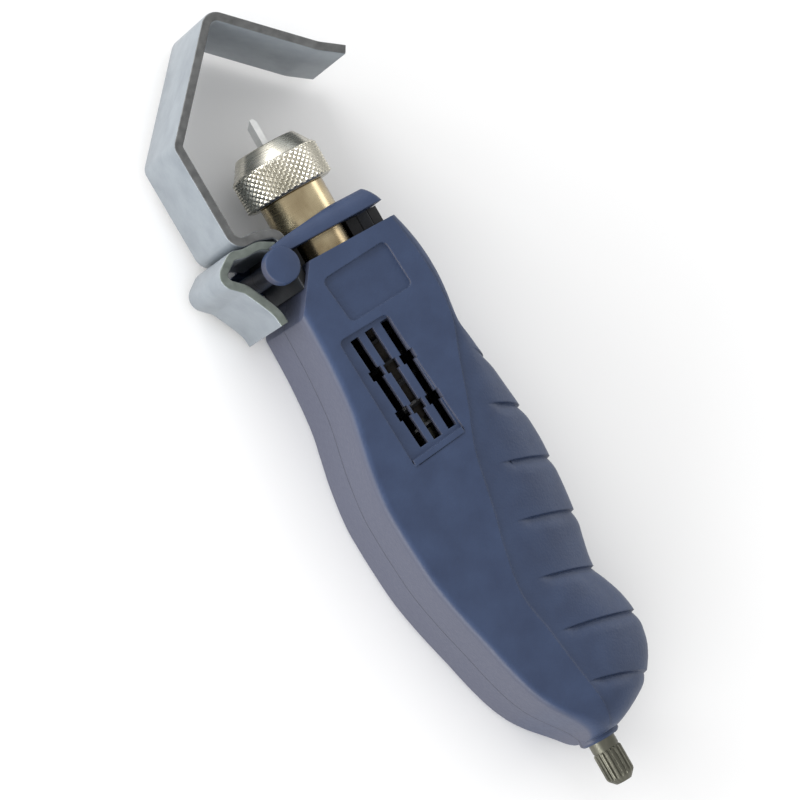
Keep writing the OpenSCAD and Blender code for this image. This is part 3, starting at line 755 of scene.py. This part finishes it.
WHITE = (1, 1, 1, 1)
TENON_SHADE = (0.12, 0.12, 0.12, 1)
LEG_SHADE = (0.16, 0.16, 0.17, 1)


def handle_plastic(name, dark, light, shade_tenon=False):
    """Moulded plastic with a fine grain. Its left sides are painted greyer as a painted reflection of the
    pale floor, and its seam darker.

    With shade_tenon the bar's tenon is painted nearly black, to look as it does in the gap's shadow.
    """
    f = Finish(name, 0.5, spec=0.4)
    face = f.steps(f.noise(220, 4.0), [(0.3, dark), (0.7, light)])
    # painted reflection: faces that turn to the tool's left are mixed towards grey, as a glancing reflection
    # of the pale floor
    face = f.mix(f.facing_left(), face, srgb(66, 69, 84))
    seam = f.steps(f.outside("Z", HALF, 0.09, 0.04), [(0.0, srgb(120, 124, 134)), (1.0, WHITE)])
    face = f.shade(face, seam)
    if shade_tenon:
        tenon = f.larger(f.outside("X", 7.8, 1.15), f.outside("Y", 40, 3.75))
        face = f.shade(face, f.steps(tenon, [(0.0, TENON_SHADE), (1.0, WHITE)]))
    f.links.new(face, f.shader.inputs["Base Color"])
    f.rough(f.noise(1300, 2.0), 0.42, 0.56)
    f.bump([(f.noise(2400, 2.0), 0.04), (f.noise(900, 2.0), 0.02)], bevel_mm=0.3)
    return f.material


def coated_steel(name, edge_low, edge_high, dark_below=False):
    """Grey coating on the rolled faces, and darker sheared edges.

    With dark_below the straight leg is painted nearly black, to look as it does in the handle's shadow.
    The paint moves with the hook.
    """
    f = Finish(name, 0.34, metal=0.5, spec=0.5)
    face = f.steps(f.noise(220, 4.0), [(0.3, srgb(122, 129, 136)), (0.7, srgb(138, 145, 151))])
    edge = f.steps(f.noise(700, 4.0), [(0.3, edge_low), (0.7, edge_high)])
    colour = f.mix(f.outside("Z", HALF, STRIP_W / 2 - 0.12), face, edge)
    if dark_below:
        leg = f.larger(f.outside("X", LEG_X, 1.3), f.outside("Y", 20, 25.0))
        colour = f.shade(colour, f.steps(leg, [(0.0, LEG_SHADE), (1.0, WHITE)]))
    f.links.new(colour, f.shader.inputs["Base Color"])
    f.rough(f.noise(700, 3.0), 0.3, 0.42)
    f.bump([(f.noise(1500, 3.0), 0.012)], bevel_mm=0.15)
    return f.material


def turned_metal(name, low, high, rough, metal=1.0):
    """Metal with fine rings from the lathe, round the spindle axis."""
    f = Finish(name, rough, metal=metal)
    rings = f.noise(60, 2.0, stretch=(1, 90, 1))
    f.colour(f.noise(300, 3.0, stretch=(1, 0.6, 1)), [(0.3, low), (0.7, high)])
    f.rough(rings, rough - 0.06, rough + 0.1)
    f.bump([(rings, 0.006)], bevel_mm=0.1)
    return f.material


def plain_metal(name, low, high, rough, metal=1.0):
    f = Finish(name, rough, metal=metal)
    f.colour(f.noise(500, 3.0), [(0.3, low), (0.7, high)])
    f.rough(f.noise(900, 3.0), rough - 0.05, rough + 0.08)
    f.bump([(f.noise(1800, 2.0), 0.006)])
    return f.material


def dark_plastic():
    f = Finish("fork_plastic", 0.5, spec=0.4)
    f.colour(f.noise(300, 3.0), [(0.3, srgb(18, 19, 21)), (0.7, srgb(28, 29, 32))])
    f.bump([(f.noise(2200, 2.0), 0.02)])
    return f.material


# Pieces on their bodies

def dress(obj, name, material, body, node):
    obj.name = name
    obj.data.name = name
    obj.data.materials.clear()
    obj.data.materials.append(material)
    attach(obj, body)
    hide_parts(node)


BLUE_DARK = srgb(38, 52, 80)
BLUE_LIGHT = srgb(45, 60, 89)
handle_blue = handle_plastic("handle_blue", BLUE_DARK, BLUE_LIGHT)
nose_blue = handle_plastic("nose_blue", BLUE_DARK, BLUE_LIGHT, shade_tenon=True)
hook_grey = coated_steel("hook_grey", srgb(80, 81, 81), srgb(102, 103, 103), dark_below=True)
lug_grey = coated_steel("lug_grey", srgb(88, 95, 90), srgb(112, 119, 114))
nickel = turned_metal("nickel_plate", srgb(186, 182, 168), srgb(214, 210, 198), 0.26)
zinc = turned_metal("yellow_zinc", srgb(142, 126, 98), srgb(188, 174, 142), 0.24)
dark_screw = turned_metal("dark_plate", srgb(74, 74, 66), srgb(104, 103, 92), 0.38, metal=0.85)
bright = plain_metal("ground_steel", srgb(226, 228, 228), srgb(242, 243, 243), 0.34, metal=0.25)
# painted shade: the detent and hook springs are coloured near black, as they look in shadow inside the handle
wire = plain_metal("spring_wire", srgb(50, 50, 51), srgb(70, 70, 71), 0.4)
# painted shade: the blade carrier is coloured near black, as it looks in shadow inside the handle
carrier_steel = turned_metal("carrier_steel", srgb(46, 43, 40), srgb(62, 59, 55), 0.42)
screw_steel = plain_metal("screw_plate", srgb(150, 152, 152), srgb(182, 184, 184), 0.34)
bronze = plain_metal("bearing_bronze", srgb(150, 112, 62), srgb(178, 136, 80), 0.42)
black_steel = plain_metal("black_steel", srgb(62, 62, 62), srgb(86, 86, 86), 0.42, metal=0.8)
fork_black = dark_plastic()

front_half = half_shell("front_form", True)
back_half = half_shell("back_form", False)
dress(front_half, "front_shell_fine", handle_blue, "handle", "front_shell")
dress(back_half, "back_shell_fine", handle_blue, "handle", "back_shell")
dress(nose_bar_piece(), "nose_bar_fine", nose_blue, "handle", "nose_bar")
dress(hook_piece(), "hook_fine", hook_grey, "hook_slide_body", "hook")
dress(lug_piece(), "thumb_lug_fine", lug_grey, "hook_slide_body", "thumb_lug")
dress(cap_piece(), "knurled_cap_fine", nickel, "spindle_body", "knurled_cap")
dress(spindle_piece(), "spindle_fine", zinc, "spindle_body", "spindle")
dress(screw_piece(), "depth_screw_fine", dark_screw, "depth_screw_body", "depth_screw")
dress(blade_piece(), "blade_fine", bright, "blade_body", "blade")

KEPT = {
    "retaining_fork": fork_black, "rear_bushing": bronze, "thrust_washer": screw_steel, "detent_ball": bright,
    "detent_spring": wire, "hook_spring": wire, "guide_pin": screw_steel, "blade_carrier": carrier_steel,
    "blade_grub_screw": black_steel, "retaining_ring": black_steel, "shell_screw_1": screw_steel,
    "shell_screw_2": screw_steel, "shell_screw_3": screw_steel, "shell_screw_4": screw_steel,
}
for node, material in KEPT.items():
    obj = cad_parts[node]
    if not obj.material_slots:
        obj.data.materials.append(material)
    for place in obj.material_slots:
        place.material = material


# Floor, backdrop colour and lights

def pale_floor():
    size = 1.6
    floor = new_object("floor", [(-size / MM, -size / MM, 0), (size / MM, -size / MM, 0),
                                 (size / MM, size / MM, 0), (-size / MM, size / MM, 0)], [(0, 1, 2, 3)])
    f = Finish("pale_floor", 0.9, spec=0.1)
    f.colour(f.noise(3, 2.0), [(0.3, (0.86, 0.86, 0.86, 1)), (0.7, (0.9, 0.9, 0.9, 1))])
    floor.data.materials.append(f.material)


def area_light(name, place, aim, size, power):
    data = bpy.data.lights.new(name, "AREA")
    data.shape = "RECTANGLE"
    data.size, data.size_y = size
    data.energy = power
    lamp = bpy.data.objects.new(name, data)
    lamp.location = place
    lamp.rotation_euler = (Vector(aim) - Vector(place)).to_track_quat("-Z", "Y").to_euler()
    bpy.context.scene.collection.objects.link(lamp)


pale_floor()
MIDDLE = (0, 0.015, 0.01)
area_light("key_left", (-0.6, 0.5, 0.22), MIDDLE, (0.6, 0.3), 3.5)
area_light("low_left", (-0.75, -0.25, 0.14), (0, -0.015, 0.01), (0.8, 0.22), 6.0)
area_light("head_card", (-0.12, 0.8, 0.26), MIDDLE, (0.5, 0.22), 4.0)
area_light("right_fill", (0.75, 0.1, 0.25), MIDDLE, (0.5, 0.3), 1.2)

world = bpy.data.worlds.new("pale_world")
bpy.context.scene.world = world
world.use_nodes = True
world.node_tree.nodes["Background"].inputs["Color"].default_value = (1, 1, 1, 1)
world.node_tree.nodes["Background"].inputs["Strength"].default_value = 0.85

scene = bpy.context.scene
scene.view_settings.view_transform = "Standard"
scene.view_settings.look = "None"
scene.view_settings.exposure = 0.0

# Camera at the photograph's angle
camera_data = bpy.data.cameras.new("camera")
camera_data.sensor_width = 36
camera_data.lens = 202.15
camera_data.clip_start = 0.05
camera_data.clip_end = 20
camera = bpy.data.objects.new("camera", camera_data)
scene.collection.objects.link(camera)
CAMERA_PLACE = (-0.28064, 0.01621, 0.65842)
CAMERA_TURN = Matrix(((0.798155, 0.454417, -0.395542),
                      (-0.49418, 0.869358, 0.001563),
                      (0.344578, 0.194221, 0.918447)))
camera.matrix_world = Matrix.Translation(CAMERA_PLACE) @ CAMERA_TURN.to_4x4()
scene.camera = camera

bpy.context.view_layer.update()
